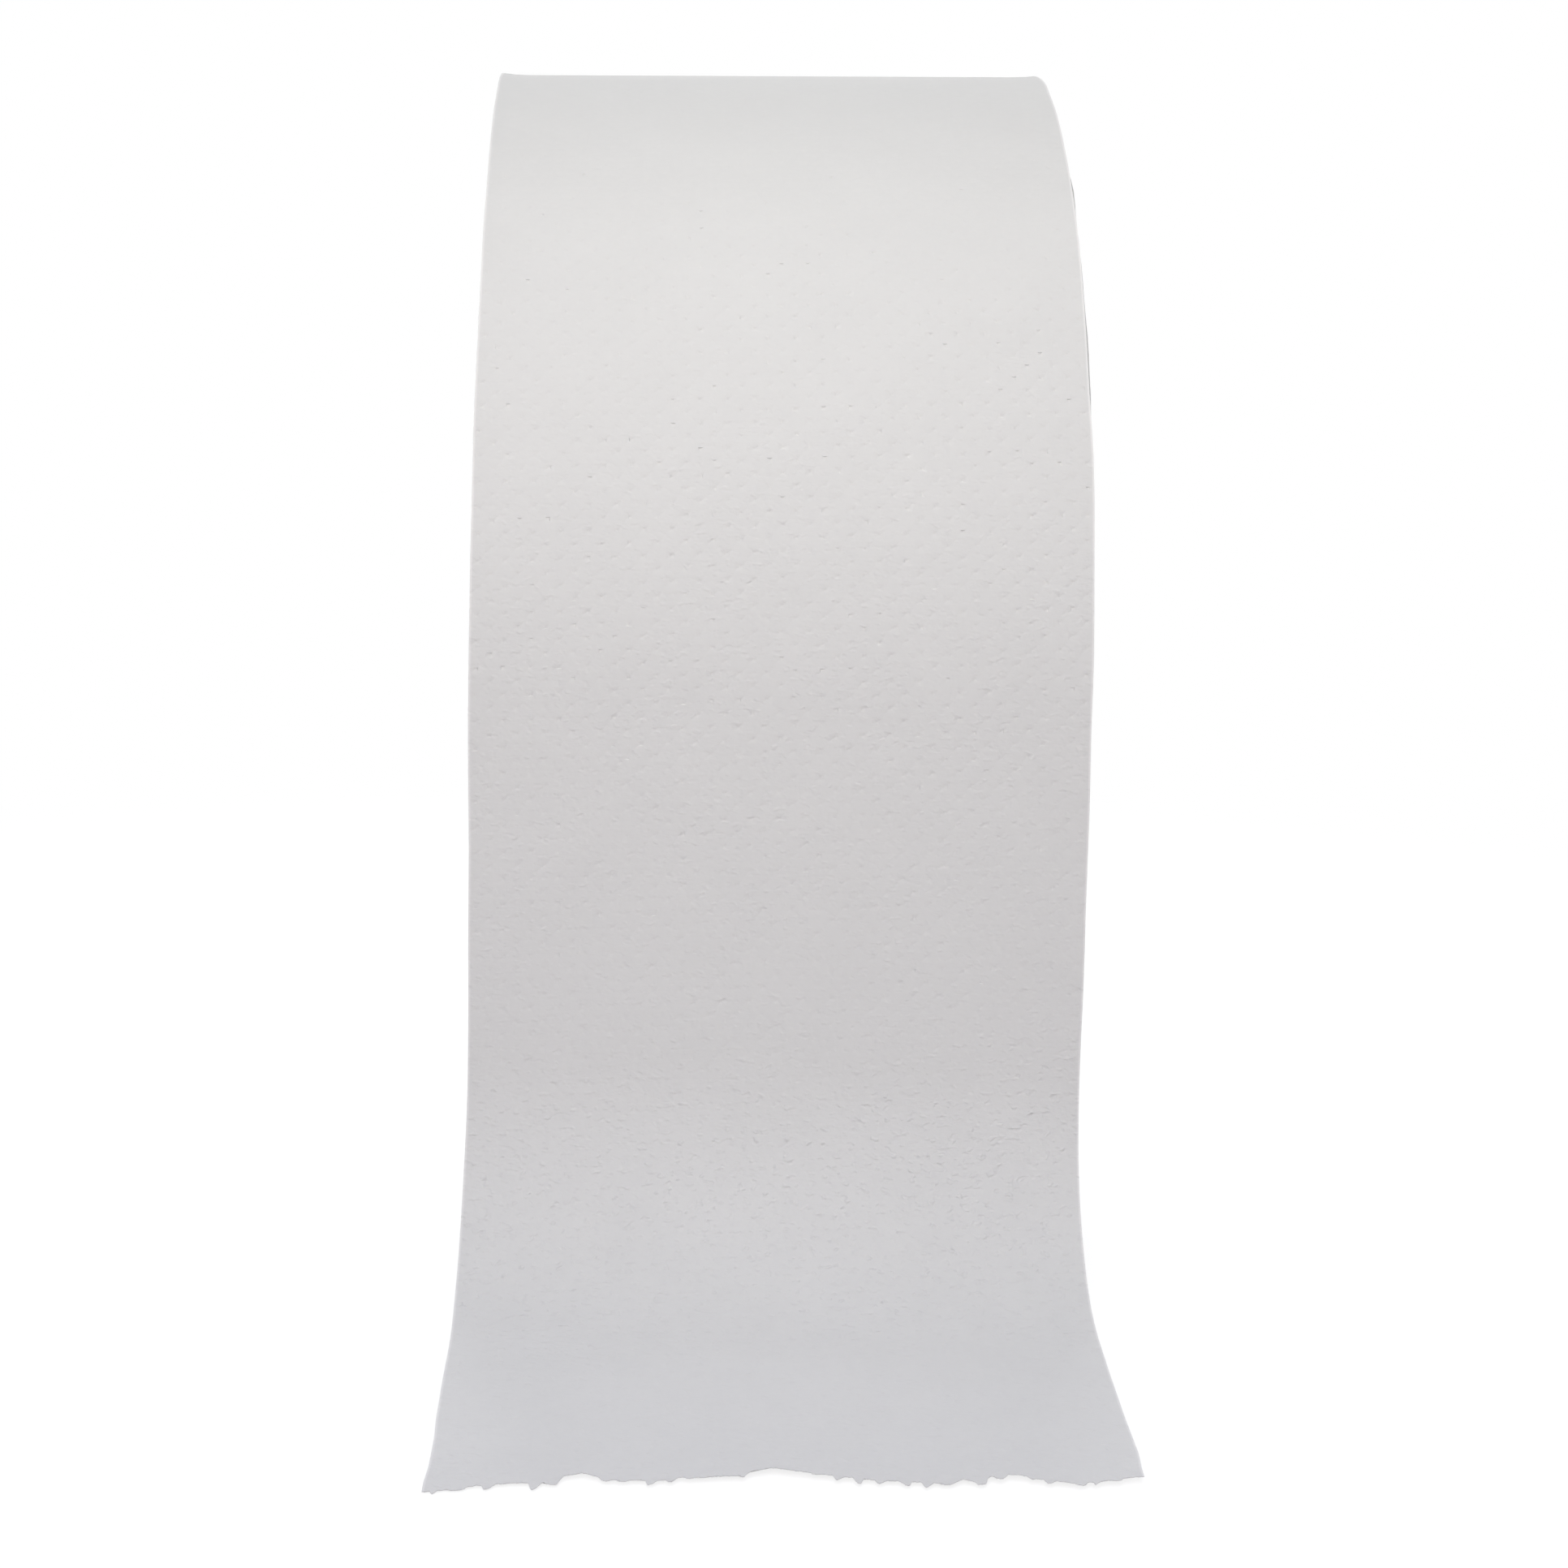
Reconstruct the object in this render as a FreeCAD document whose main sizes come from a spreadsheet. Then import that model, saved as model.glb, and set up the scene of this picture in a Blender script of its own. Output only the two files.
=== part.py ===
import FreeCAD, Part

import math
import os

import Sketcher

# Jumbo toilet paper roll standing on its rim. X runs along the core, +Z is up, and the
# loose end of the paper hangs down the front, at -Y, and lies forward to a torn edge.
# The origin is the middle of the core's axis. Sizes are in millimetres and degrees.

SIZES = (
    ("roll_width", 95.0, "length of the roll along its core"),
    ("roll_diameter", 200.0, "outer diameter over the last turn"),
    ("sheet_thickness", 0.3, "two plies, embossed"),
    ("core_bore", 60.0, "clear diameter inside the cardboard core"),
    ("core_wall", 1.5, "wound cardboard"),
    ("flat_sag", 0.75, "how far the roll settles into its flat spot"),
    ("hang_lean", 1.8, "how far the hanging sheet leans back from plumb"),
    ("bend_radius", 33.0, "bend from the hanging sheet to the lying one"),
    ("lie_slope", 5.2, "fall of the lying sheet towards its torn edge"),
    ("tail_reach", 172.0, "from the core's axis forward to the longest torn tip"),
    ("torn_overlap", 1.0, "paper beyond the longest tip, all of it torn off"),
    ("nib_width", 1.1, "one torn nib, across the sheet"),
    ("turn_pitch", 7.5, "from one groove between turns to the next"),
    ("first_turn", 4.0, "from the core to the innermost groove"),
    ("rim_margin", 3.0, "least paper outside the outermost groove"),
    ("groove_width", 1.0, "groove between turns, at the end face"),
    ("groove_depth", 0.4, "groove between turns, into the end face"),
)

# Torn edge, from left to right: place in percent of half the width, then how far the
# edge stays short of the longest tip.
TORN_WAVE = (
    (-100, 0.3), (-86, 1.9), (-75, 3.0), (-60, 5.2), (-45, 4.0), (-28, 5.2), (-4, 8.1),
    (12, 6.3), (25, 5.1), (46, 4.4), (62, 6.9), (80, 5.3), (100, 7.0),
)
# Nibs that stand out of that wave: place in percent, then length.
TORN_NIBS = (
    (-96, 0.75), (-83.5, 1.2), (-70.5, 1.7), (-50, 0.7), (-38.5, 1.7), (-32, 1.1),
    (7, 0.6), (14.5, 1.0), (20, 1.4), (26, 0.9), (33, 1.1), (39, 1.4), (54, 1.2),
    (68, 0.4), (73, 0.9), (81.5, 0.6), (86, 0.7),
)


def make_sheet(doc):
    """The driving sizes, one row each, with the name as the value cell's alias."""
    sheet = doc.addObject("Spreadsheet::Sheet", "sizes")
    for row, (alias, value, note) in enumerate(SIZES, 1):
        sheet.set(f"A{row}", alias)
        sheet.set(f"B{row}", str(value))
        sheet.set(f"C{row}", note)
        sheet.setAlias(f"B{row}", alias)
    doc.recompute()
    return sheet


def new_sketch(body, name, role):
    """An empty sketch on one of the body's own origin planes."""
    sketch = body.newObject("Sketcher::SketchObject", name)
    plane = next(item for item in body.Origin.OriginFeatures if item.Role == role)
    sketch.AttachmentSupport = [(plane, "")]
    sketch.MapMode = "FlatFace"
    return sketch


def bind(sketch, name, kind, *geometry, value, formula):
    """A dimension that starts at value and follows formula from then on."""
    index = sketch.addConstraint(Sketcher.Constraint(kind, *geometry, value))
    sketch.renameConstraint(index, name)
    sketch.setExpression(f"Constraints.{name}", formula)


def place_point(sketch, name, geometry, end, value, formulas):
    """Hold one end of a line at a place worked out from the sheet."""
    x, y = value
    x_formula, y_formula = formulas
    bind(sketch, f"{name}_x", "DistanceX", -1, 1, geometry, end, value=x, formula=x_formula)
    bind(sketch, f"{name}_y", "DistanceY", -1, 1, geometry, end, value=y, formula=y_formula)


def closed_outline(sketch, name, points):
    """A closed outline of straight edges; each point is (place, formulas)."""
    places = [FreeCAD.Vector(x, y, 0) for (x, y), formulas in points]
    edges = [
        sketch.addGeometry(Part.LineSegment(start, end))
        for start, end in zip(places, places[1:] + places[:1])
    ]
    for edge, following in zip(edges, edges[1:] + edges[:1]):
        sketch.addConstraint(Sketcher.Constraint("Coincident", edge, 2, following, 1))
    for number, (edge, (place, formulas)) in enumerate(zip(edges, points)):
        place_point(sketch, f"{name}_{number}", edge, 1, place, formulas)


def along(start, angle, distance):
    """The point at a distance from start in the direction of an angle in radians."""
    return start + FreeCAD.Vector(math.cos(angle), math.sin(angle), 0) * distance


def arc(sketch, centre, radius, start_angle, end_angle):
    """An arc drawn anticlockwise between two angles in radians."""
    circle = Part.Circle(centre, FreeCAD.Vector(0, 0, 1), radius)
    return sketch.addGeometry(Part.ArcOfCircle(circle, start_angle, end_angle))


def line(sketch, start, end, construction=False):
    return sketch.addGeometry(Part.LineSegment(start, end), construction)


def draw_profile(sketch, size):
    """The roll from its end: the outer turn comes over the top and leaves at the front.

    The last turn is a two-centred spiral. Its upper half is centred on the core and its
    lower half is half a sheet off, so the front of the roll is one sheet smaller where
    the tail leaves it. Across the page is Y and up the page is Z.
    """
    radius = size["roll_diameter"] / 2
    thick = size["sheet_thickness"]
    bend = size["bend_radius"]
    lean = math.radians(size["hang_lean"])
    slope = math.radians(size["lie_slope"])
    half = math.pi / 2
    middle = FreeCAD.Vector(0, 0, 0)
    floor = size["flat_sag"] - radius

    # The turn leaves the roll at `leave` and started at `start`, straight across from it.
    start = along(middle, lean, radius)
    leave = along(middle, math.pi + lean, radius)
    leave_inside = along(middle, math.pi + lean, radius - thick)
    low_centre = along(middle, lean, thick / 2)
    low_radius = radius - thick / 2
    flat_half = math.sqrt(low_radius**2 - (floor - low_centre.y) ** 2)
    flat_front = FreeCAD.Vector(low_centre.x - flat_half, floor, 0)
    flat_back = FreeCAD.Vector(low_centre.x + flat_half, floor, 0)
    flat_angle = math.atan2(floor - low_centre.y, flat_half)

    # The lying sheet's underside meets the floor under the longest torn tip, and its
    # bend is centred where both the hanging and the lying sheet run into it.
    reach = size["tail_reach"] + size["torn_overlap"]
    end_height = floor - size["torn_overlap"] * math.tan(slope)
    end_under = FreeCAD.Vector(-reach, end_height, 0)
    end_top = along(end_under, half + slope, thick)
    bend_x = leave.x * math.cos(lean) + leave.y * math.sin(lean) - bend
    bend_y = end_top.y * math.cos(slope) - end_top.x * math.sin(slope) + bend
    spread = math.cos(lean - slope)
    bend_centre = FreeCAD.Vector(
        (bend_x * math.cos(slope) - bend_y * math.sin(lean)) / spread,
        (bend_y * math.cos(lean) + bend_x * math.sin(slope)) / spread,
        0,
    )
    hang_end = along(bend_centre, lean, bend)
    hang_end_back = along(bend_centre, lean, bend + thick)
    lie_start = along(bend_centre, slope - half, bend)
    lie_start_under = along(bend_centre, slope - half, bend + thick)

    top_turn = arc(sketch, middle, radius, lean, math.pi + lean)
    hang_front = line(sketch, leave, hang_end)
    bend_front = arc(sketch, bend_centre, bend, slope - half, lean)
    lie_top = line(sketch, lie_start, end_top)
    lie_end = line(sketch, end_top, end_under)
    lie_under = line(sketch, end_under, lie_start_under)
    bend_back = arc(sketch, bend_centre, bend + thick, slope - half, lean)
    hang_back = line(sketch, hang_end_back, leave_inside)
    low_front = arc(sketch, low_centre, low_radius, math.pi + lean, math.pi - flat_angle)
    flat_spot = line(sketch, flat_front, flat_back)
    low_back = arc(sketch, low_centre, low_radius, flat_angle, lean)
    across = line(sketch, leave, start, construction=True)

    def join(kind, first, first_end, second, second_end):
        sketch.addConstraint(
            Sketcher.Constraint(kind, first, first_end, second, second_end)
        )

    join("Coincident", top_turn, 3, -1, 1)
    join("Tangent", top_turn, 2, hang_front, 1)
    join("Tangent", hang_front, 2, bend_front, 2)
    join("Tangent", bend_front, 1, lie_top, 1)
    join("Coincident", lie_top, 2, lie_end, 1)
    join("Coincident", lie_end, 2, lie_under, 1)
    join("Tangent", lie_under, 2, bend_back, 1)
    join("Tangent", bend_back, 2, hang_back, 1)
    join("Coincident", hang_back, 2, low_front, 1)
    join("Coincident", low_front, 2, flat_spot, 1)
    join("Coincident", flat_spot, 2, low_back, 1)
    join("Coincident", low_back, 2, top_turn, 1)
    join("Coincident", bend_back, 3, bend_front, 3)
    join("Coincident", low_back, 3, low_front, 3)
    join("Coincident", across, 1, top_turn, 2)
    join("Coincident", across, 2, top_turn, 1)
    sketch.addConstraint(Sketcher.Constraint("PointOnObject", -1, 1, across))
    sketch.addConstraint(Sketcher.Constraint("PointOnObject", low_front, 3, across))
    sketch.addConstraint(Sketcher.Constraint("Equal", low_front, low_back))
    sketch.addConstraint(Sketcher.Constraint("Perpendicular", lie_top, lie_end))
    sketch.addConstraint(Sketcher.Constraint("Horizontal", flat_spot))

    bind(sketch, "outer_radius", "Radius", top_turn, value=radius,
         formula="sizes.roll_diameter / 2")
    bind(sketch, "low_radius", "Radius", low_front, value=low_radius,
         formula="(sizes.roll_diameter - sizes.sheet_thickness) / 2")
    bind(sketch, "bend_radius", "Radius", bend_front, value=bend,
         formula="sizes.bend_radius")
    bind(sketch, "back_radius", "Radius", bend_back, value=bend + thick,
         formula="sizes.bend_radius + sizes.sheet_thickness")
    bind(sketch, "thickness", "Distance", lie_end, value=thick,
         formula="sizes.sheet_thickness")
    bind(sketch, "lean", "Angle", -1, 1, across, 1, value=lean,
         formula="sizes.hang_lean")
    bind(sketch, "slope", "Angle", -1, 1, lie_under, 1, value=slope,
         formula="sizes.lie_slope")
    bind(sketch, "reach", "DistanceX", lie_end, 2, -1, 1, value=reach,
         formula="sizes.tail_reach + sizes.torn_overlap")
    bind(sketch, "end_height", "DistanceY", lie_end, 2, -1, 1, value=-end_height,
         formula="sizes.roll_diameter / 2 - sizes.flat_sag"
                 " + sizes.torn_overlap * tan(sizes.lie_slope)")
    bind(sketch, "floor_height", "DistanceY", flat_spot, 1, -1, 1, value=-floor,
         formula="sizes.roll_diameter / 2 - sizes.flat_sag")


def draw_bore(sketch, size):
    """The hole that the core fills."""
    radius = size["core_bore"] / 2 + size["core_wall"]
    centre = FreeCAD.Vector(0, 0, 0)
    circle = sketch.addGeometry(Part.Circle(centre, FreeCAD.Vector(0, 0, 1), radius))
    sketch.addConstraint(Sketcher.Constraint("Coincident", circle, 3, -1, 1))
    bind(sketch, "bore_radius", "Radius", circle, value=radius,
         formula="sizes.core_bore / 2 + sizes.core_wall")


def short_of_tip(place):
    """How far the torn edge stays short of the longest tip, without its nibs."""
    for (left, left_short), (right, right_short) in zip(TORN_WAVE, TORN_WAVE[1:]):
        if place <= right:
            share = (place - left) / (right - left)
            return left_short + share * (right_short - left_short)
    return TORN_WAVE[-1][1]


def draw_torn_edge(sketch, size):
    """Everything forward of the torn edge, seen from above."""
    half = size["roll_width"] / 2
    nib_half = 50 * size["nib_width"] / half
    edge = [(place, short) for place, short in TORN_WAVE[1:-1]]
    for place, length in TORN_NIBS:
        clear = [point for point in edge if abs(point[0] - place) > nib_half]
        edge = clear + [
            (place - nib_half, short_of_tip(place - nib_half)),
            (place, short_of_tip(place) - length),
            (place + nib_half, short_of_tip(place + nib_half)),
        ]
    edge.append((-100 - nib_half, TORN_WAVE[0][1]))
    edge.append((100 + nib_half, TORN_WAVE[-1][1]))
    edge.sort()

    points = []
    for place, short in edge:
        points.append((
            (half * place / 100, short - size["tail_reach"]),
            (f"sizes.roll_width * {place / 200:.5f}", f"{short:.3f} - sizes.tail_reach"),
        ))
    beyond = -size["tail_reach"] - 2 * size["torn_overlap"]
    beyond_formula = "-sizes.tail_reach - 2 * sizes.torn_overlap"
    for (x, edge_y), (x_formula, edge_formula) in (points[-1], points[0]):
        points.append(((x, beyond), (x_formula, beyond_formula)))
    closed_outline(sketch, "torn", points)


def turn_radii(size):
    """Radii of the grooves between turns on the upper half of the end face."""
    innermost = size["core_bore"] / 2 + size["core_wall"] + size["first_turn"]
    room = size["roll_diameter"] / 2 - size["rim_margin"] - size["turn_pitch"] - innermost
    count = int(room / size["turn_pitch"]) + 1
    return [innermost + number * size["turn_pitch"] for number in range(count)]


def draw_turn_grooves(sketch, size, side):
    """V grooves on one end face; side is +1 at the back of the roll and -1 at its front."""
    face = size["roll_width"] / 2
    depth = size["groove_depth"]
    wide = size["groove_width"]
    inner = "sizes.core_bore / 2 + sizes.core_wall + sizes.first_turn"
    for number, radius in enumerate(turn_radii(size)):
        centre = f"{side} * ({inner} + {number} * sizes.turn_pitch)"
        points = [
            ((face - depth, side * radius),
             ("sizes.roll_width / 2 - sizes.groove_depth", centre)),
            ((face + depth, side * radius - wide),
             ("sizes.roll_width / 2 + sizes.groove_depth", f"{centre} - sizes.groove_width")),
            ((face + depth, side * radius + wide),
             ("sizes.roll_width / 2 + sizes.groove_depth", f"{centre} + sizes.groove_width")),
        ]
        closed_outline(sketch, f"turn_{number}", points)


def half_turn(body, name, sketch, axis):
    """Cut a sketch's grooves half way round the roll, over the top or under it."""
    groove = body.newObject("PartDesign::Groove", name)
    groove.Profile = sketch
    groove.ReferenceAxis = axis
    groove.Angle = 180
    return groove


def volume(feature):
    return feature.Shape.Volume


def make_paper_roll(doc, size):
    """All the turns, the outer turn and its loose end, as one solid."""
    body = doc.addObject("PartDesign::Body", "paper_roll")
    body.Label = "paper_roll"

    profile = new_sketch(body, "roll_profile", "YZ_Plane")
    draw_profile(profile, size)
    roll = body.newObject("PartDesign::Pad", "wound_paper")
    roll.Profile = profile
    roll.setExpression("Length", "sizes.roll_width")
    roll.SideType = "Symmetric"
    doc.recompute()

    bore_sketch = new_sketch(body, "bore_circle", "YZ_Plane")
    draw_bore(bore_sketch, size)
    bore = body.newObject("PartDesign::Pocket", "core_hole")
    bore.Profile = bore_sketch
    bore.Type = "ThroughAll"
    bore.SideType = "Symmetric"
    doc.recompute()

    torn_sketch = new_sketch(body, "torn_edge", "XY_Plane")
    draw_torn_edge(torn_sketch, size)
    torn = body.newObject("PartDesign::Pocket", "torn_off")
    torn.Profile = torn_sketch
    torn.Type = "ThroughAll"
    torn.SideType = "Symmetric"
    doc.recompute()

    upper_sketch = new_sketch(body, "upper_turns", "XY_Plane")
    draw_turn_grooves(upper_sketch, size, 1)
    upper = half_turn(body, "upper_grooves", upper_sketch, (upper_sketch, ["H_Axis"]))
    doc.recompute()

    # The lower half turns are centred half a pitch back, which joins them into a spiral.
    lower_sketch = new_sketch(body, "lower_turns", "XY_Plane")
    draw_turn_grooves(lower_sketch, size, -1)
    shift = size["turn_pitch"] / 2
    reach = size["roll_width"] / 2
    axis = line(lower_sketch, FreeCAD.Vector(0, shift, 0), FreeCAD.Vector(reach, shift, 0), True)
    place_point(lower_sketch, "axis_end", axis, 2, (reach, shift),
                ("sizes.roll_width / 2", "sizes.turn_pitch / 2"))
    lower_sketch.addConstraint(Sketcher.Constraint("Horizontal", axis))
    lower_sketch.addConstraint(Sketcher.Constraint("PointOnObject", axis, 1, -2))
    lower = half_turn(body, "lower_grooves", lower_sketch, (lower_sketch, ["Axis0"]))
    doc.recompute()

    other_end = body.newObject("PartDesign::Mirrored", "other_end_grooves")
    other_end.Originals = [upper, lower]
    plane = next(item for item in body.Origin.OriginFeatures if item.Role == "YZ_Plane")
    other_end.MirrorPlane = (plane, [""])
    body.Tip = other_end
    doc.recompute()

    for before, after in ((roll, bore), (bore, torn), (torn, upper), (upper, lower),
                          (lower, other_end)):
        if volume(after) >= volume(before):
            raise RuntimeError(f"{after.Name} cuts nothing")
    return body


def make_core_tube(doc, size):
    """The wound cardboard core, flush with both ends of the roll."""
    body = doc.addObject("PartDesign::Body", "core_tube")
    body.Label = "core_tube"
    ring = new_sketch(body, "core_ring", "YZ_Plane")
    centre = FreeCAD.Vector(0, 0, 0)
    normal = FreeCAD.Vector(0, 0, 1)
    inner = ring.addGeometry(Part.Circle(centre, normal, size["core_bore"] / 2))
    outer_radius = size["core_bore"] / 2 + size["core_wall"]
    outer = ring.addGeometry(Part.Circle(centre, normal, outer_radius))
    ring.addConstraint(Sketcher.Constraint("Coincident", inner, 3, -1, 1))
    ring.addConstraint(Sketcher.Constraint("Coincident", outer, 3, -1, 1))
    bind(ring, "inner_radius", "Radius", inner, value=size["core_bore"] / 2,
         formula="sizes.core_bore / 2")
    bind(ring, "outer_radius", "Radius", outer, value=outer_radius,
         formula="sizes.core_bore / 2 + sizes.core_wall")
    tube = body.newObject("PartDesign::Pad", "core_wall_pad")
    tube.Profile = ring
    tube.setExpression("Length", "sizes.roll_width")
    tube.SideType = "Symmetric"
    doc.recompute()
    return body


def check(doc, bodies):
    """Stop if any feature failed or any piece isn't one sound solid."""
    for item in doc.Objects:
        if "Invalid" in item.State or "Error" in item.State:
            raise RuntimeError(f"{item.Name} is {item.State}")
    for body in bodies:
        shape = body.Shape
        if shape.isNull() or not shape.isValid() or len(shape.Solids) != 1:
            raise RuntimeError(f"{body.Label} isn't one sound solid")


def main():
    doc = FreeCAD.newDocument("jumbo_toilet_roll")
    sheet = make_sheet(doc)
    size = {alias: float(sheet.get(alias)) for alias, value, note in SIZES}
    bodies = [make_paper_roll(doc, size), make_core_tube(doc, size)]
    check(doc, bodies)
    os.makedirs("parts", exist_ok=True)
    for body in bodies:
        body.Shape.exportStep(f"parts/{body.Label}.step")
        box = body.Shape.BoundBox
        print(f"{body.Label}: {volume(body):.0f} mm3, X {box.XMin:.2f} to {box.XMax:.2f},"
              f" Y {box.YMin:.2f} to {box.YMax:.2f}, Z {box.ZMin:.2f} to {box.ZMax:.2f}")


main()
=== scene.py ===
"""A jumbo toilet paper roll on its rim, with its loose end hanging down to a torn edge."""

import math

import bpy
from mathutils import Matrix, Vector, noise


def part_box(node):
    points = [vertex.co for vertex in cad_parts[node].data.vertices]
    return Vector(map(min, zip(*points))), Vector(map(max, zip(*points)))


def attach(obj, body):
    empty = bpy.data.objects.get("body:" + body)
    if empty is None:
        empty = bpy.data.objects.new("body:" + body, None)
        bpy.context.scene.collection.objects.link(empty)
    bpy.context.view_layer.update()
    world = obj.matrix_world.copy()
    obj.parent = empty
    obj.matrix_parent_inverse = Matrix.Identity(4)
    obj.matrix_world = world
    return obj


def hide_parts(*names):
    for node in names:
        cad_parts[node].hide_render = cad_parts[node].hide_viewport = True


bl_info = {
    "name": "Jumbo Toilet Paper Roll",
    "version": (1, 0, 0),
    "blender": (4, 5, 0),
    "location": "3D View > Sidebar > Roll",
    "description": "Dresses a jumbo toilet paper roll: embossed sheet, wound turns and core",
    "category": "Object",
}

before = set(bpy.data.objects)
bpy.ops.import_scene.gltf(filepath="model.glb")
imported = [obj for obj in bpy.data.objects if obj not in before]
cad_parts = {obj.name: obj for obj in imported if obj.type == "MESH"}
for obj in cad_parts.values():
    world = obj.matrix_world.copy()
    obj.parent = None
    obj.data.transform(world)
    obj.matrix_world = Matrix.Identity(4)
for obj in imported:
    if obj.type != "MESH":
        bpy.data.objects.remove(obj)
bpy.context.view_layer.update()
ROLL_LOW, ROLL_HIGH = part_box("paper_roll")
CORE_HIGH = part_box("core_tube")[1]

MM = 0.001
CLOSE_GAP = 0.05 * MM  # between the outer sheet and the turns beneath it
MERGE = 0.001 * MM  # vertices nearer than this are one
TORN_SPARE = 5 * MM  # sheet beyond the longest tip, all of it torn off
UPPER_PLY = 11.0  # seeds of the two plies' torn edges
LOWER_PLY = 23.0
NIB_LEAN = 0.7  # how far a one-sided nib's tip leans to its steep side
NIB_POINT = 1.7  # a nib's outline: 1 is pointed and 2 is round

# Torn edge, from left to right: place in percent of half the width, then millimetres
# that the edge stays short of the longest tip. The lower ply tears a little otherwise.
TORN_WAVE = (
    (-106, 0.3), (-100, 0.3), (-90, 1.2), (-86, 2.1), (-75, 3.0), (-63.2, 3.2), (-61.6, 5.0),
    (-57, 5.9), (-53, 5.5), (-51, 4.3), (-45, 4.1), (-34, 4.3), (-28, 5.3), (-24, 5.0),
    (-20, 5.5), (-12, 5.8), (-10, 7.0), (-4, 8.1), (12, 6.3), (25, 5.1), (46, 4.5),
    (49, 5.7), (53, 4.9), (57, 6.6), (60, 6.3), (62, 7.2), (66, 7.0), (69, 6.1),
    (80, 4.9), (90, 5.8), (95, 6.6), (100, 7.0), (106, 7.0),
)
# Nibs that stand out of that wave: place in percent, length and width in millimetres,
# and which side is steep, from -1 for the left one to 1 for the right one.
TORN_NIBS = (
    (-96.5, 0.8, 0.8, -0.9), (-90.5, 0.4, 2.6, 0.9), (-81.7, 1.2, 1.8, -0.9),
    (-69.1, 1.8, 1.7, -0.5), (-64.5, 0.6, 1.9, 0.9), (-53.5, 0.3, 1.6, 0.3),
    (-50, 0.5, 1.6, 0.2), (-45.5, 0.4, 1.9, 0.7), (-37.2, 1.3, 1.7, -0.8),
    (-32, 0.8, 1.5, 0.1), (-27, 0.4, 1.8, -0.4), (-12, 0.4, 1.0, -0.3), (8, 0.3, 1.2, 0.4),
    (14.5, 1.0, 1.4, -0.7), (19.9, 1.4, 1.4, 0.3), (26, 0.9, 1.3, -0.6), (33, 1.1, 1.5, 0.7),
    (39, 1.3, 1.5, -0.5), (44, 0.4, 2.0, 0.4), (54, 1.2, 1.9, 0.8), (60, 0.4, 2.2, -0.6),
    (68, 0.4, 1.2, 0.2), (73, 0.9, 1.5, -0.7), (81.5, 0.7, 1.8, 0.6), (86, 0.8, 1.0, -0.8),
    (92, 0.4, 1.6, 0.3),
)

# How far the sheet's two edges drift to the right, in steps along it: how much, and the
# start and length of the step, all in millimetres. 0 is where the sheet leaves the roll.
LEFT_DRIFT = ((0.16, 5, 20), (-0.34, 60, 28), (0.25, 130, 8), (-0.35, 144, 6))
RIGHT_DRIFT = (
    (0.30, -50, 14), (0.12, 0, 15), (-0.42, 45, 35), (0.25, 95, 15), (0.15, 126, 12),
    (-0.35, 138, 6),
)


# ---------------------------------------------------------------- settings


class RollSizes(bpy.types.PropertyGroup):
    sheet_thickness: bpy.props.FloatProperty(
        name="Sheet Thickness", description="Two embossed plies together",
        default=0.3 * MM, min=0.05 * MM, subtype="DISTANCE", unit="LENGTH", precision=5)
    hang_lean: bpy.props.FloatProperty(
        name="Hang Lean", description="How far the hanging sheet leans back from plumb",
        default=math.radians(1.8), subtype="ANGLE", unit="ROTATION")
    bend_radius: bpy.props.FloatProperty(
        name="Bend Radius", description="Bend from the hanging sheet to the lying one",
        default=33 * MM, min=5 * MM, subtype="DISTANCE", unit="LENGTH")
    lie_slope: bpy.props.FloatProperty(
        name="Lie Slope", description="Fall of the lying sheet towards its torn edge",
        default=math.radians(5.2), subtype="ANGLE", unit="ROTATION")
    left_inset: bpy.props.FloatProperty(
        name="Left Inset", description="Outer turn's edge inside the turns beneath, left end",
        default=0.12 * MM, subtype="DISTANCE", unit="LENGTH", precision=5)
    right_inset: bpy.props.FloatProperty(
        name="Right Inset", description="Outer turn's edge inside the turns beneath, right end",
        default=0.15 * MM, subtype="DISTANCE", unit="LENGTH", precision=5)
    dot_column: bpy.props.FloatProperty(
        name="Dot Column", description="Half the distance between embossed dots in a row",
        default=2.1 * MM, min=0.5 * MM, subtype="DISTANCE", unit="LENGTH", precision=5)
    dot_row: bpy.props.FloatProperty(
        name="Dot Row", description="Distance between rows of embossed dots",
        default=2.05 * MM, min=0.5 * MM, subtype="DISTANCE", unit="LENGTH", precision=5)
    dot_width: bpy.props.FloatProperty(
        name="Dot Width", description="Width of one embossed dot at the surface",
        default=0.8 * MM, min=0.1 * MM, subtype="DISTANCE", unit="LENGTH", precision=5)
    dot_depth: bpy.props.FloatProperty(
        name="Dot Depth", description="Depth of a deep embossed dot",
        default=0.29 * MM, min=0.0, subtype="DISTANCE", unit="LENGTH", precision=5)
    dot_tilt: bpy.props.FloatProperty(
        name="Dot Tilt", description="Rise of the dot rows towards the right",
        default=math.radians(2.7), subtype="ANGLE", unit="ROTATION")
    turn_count: bpy.props.IntProperty(
        name="Turns Shown", description="Ridges of the wound turns on each end face",
        default=72, min=4)
    core_bore: bpy.props.FloatProperty(
        name="Core Bore", description="Clear diameter inside the cardboard core",
        default=60 * MM, min=10 * MM, subtype="DISTANCE", unit="LENGTH")


class RollLook(bpy.types.PropertyGroup):
    tissue: bpy.props.FloatVectorProperty(
        name="Tissue", description="Colour of the tissue paper", subtype="COLOR", size=3,
        default=(0.812, 0.800, 0.796), min=0.0, max=1.0)
    cardboard: bpy.props.FloatVectorProperty(
        name="Cardboard", description="Colour of the core's cardboard", subtype="COLOR", size=3,
        default=(0.36, 0.27, 0.185), min=0.0, max=1.0)


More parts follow.
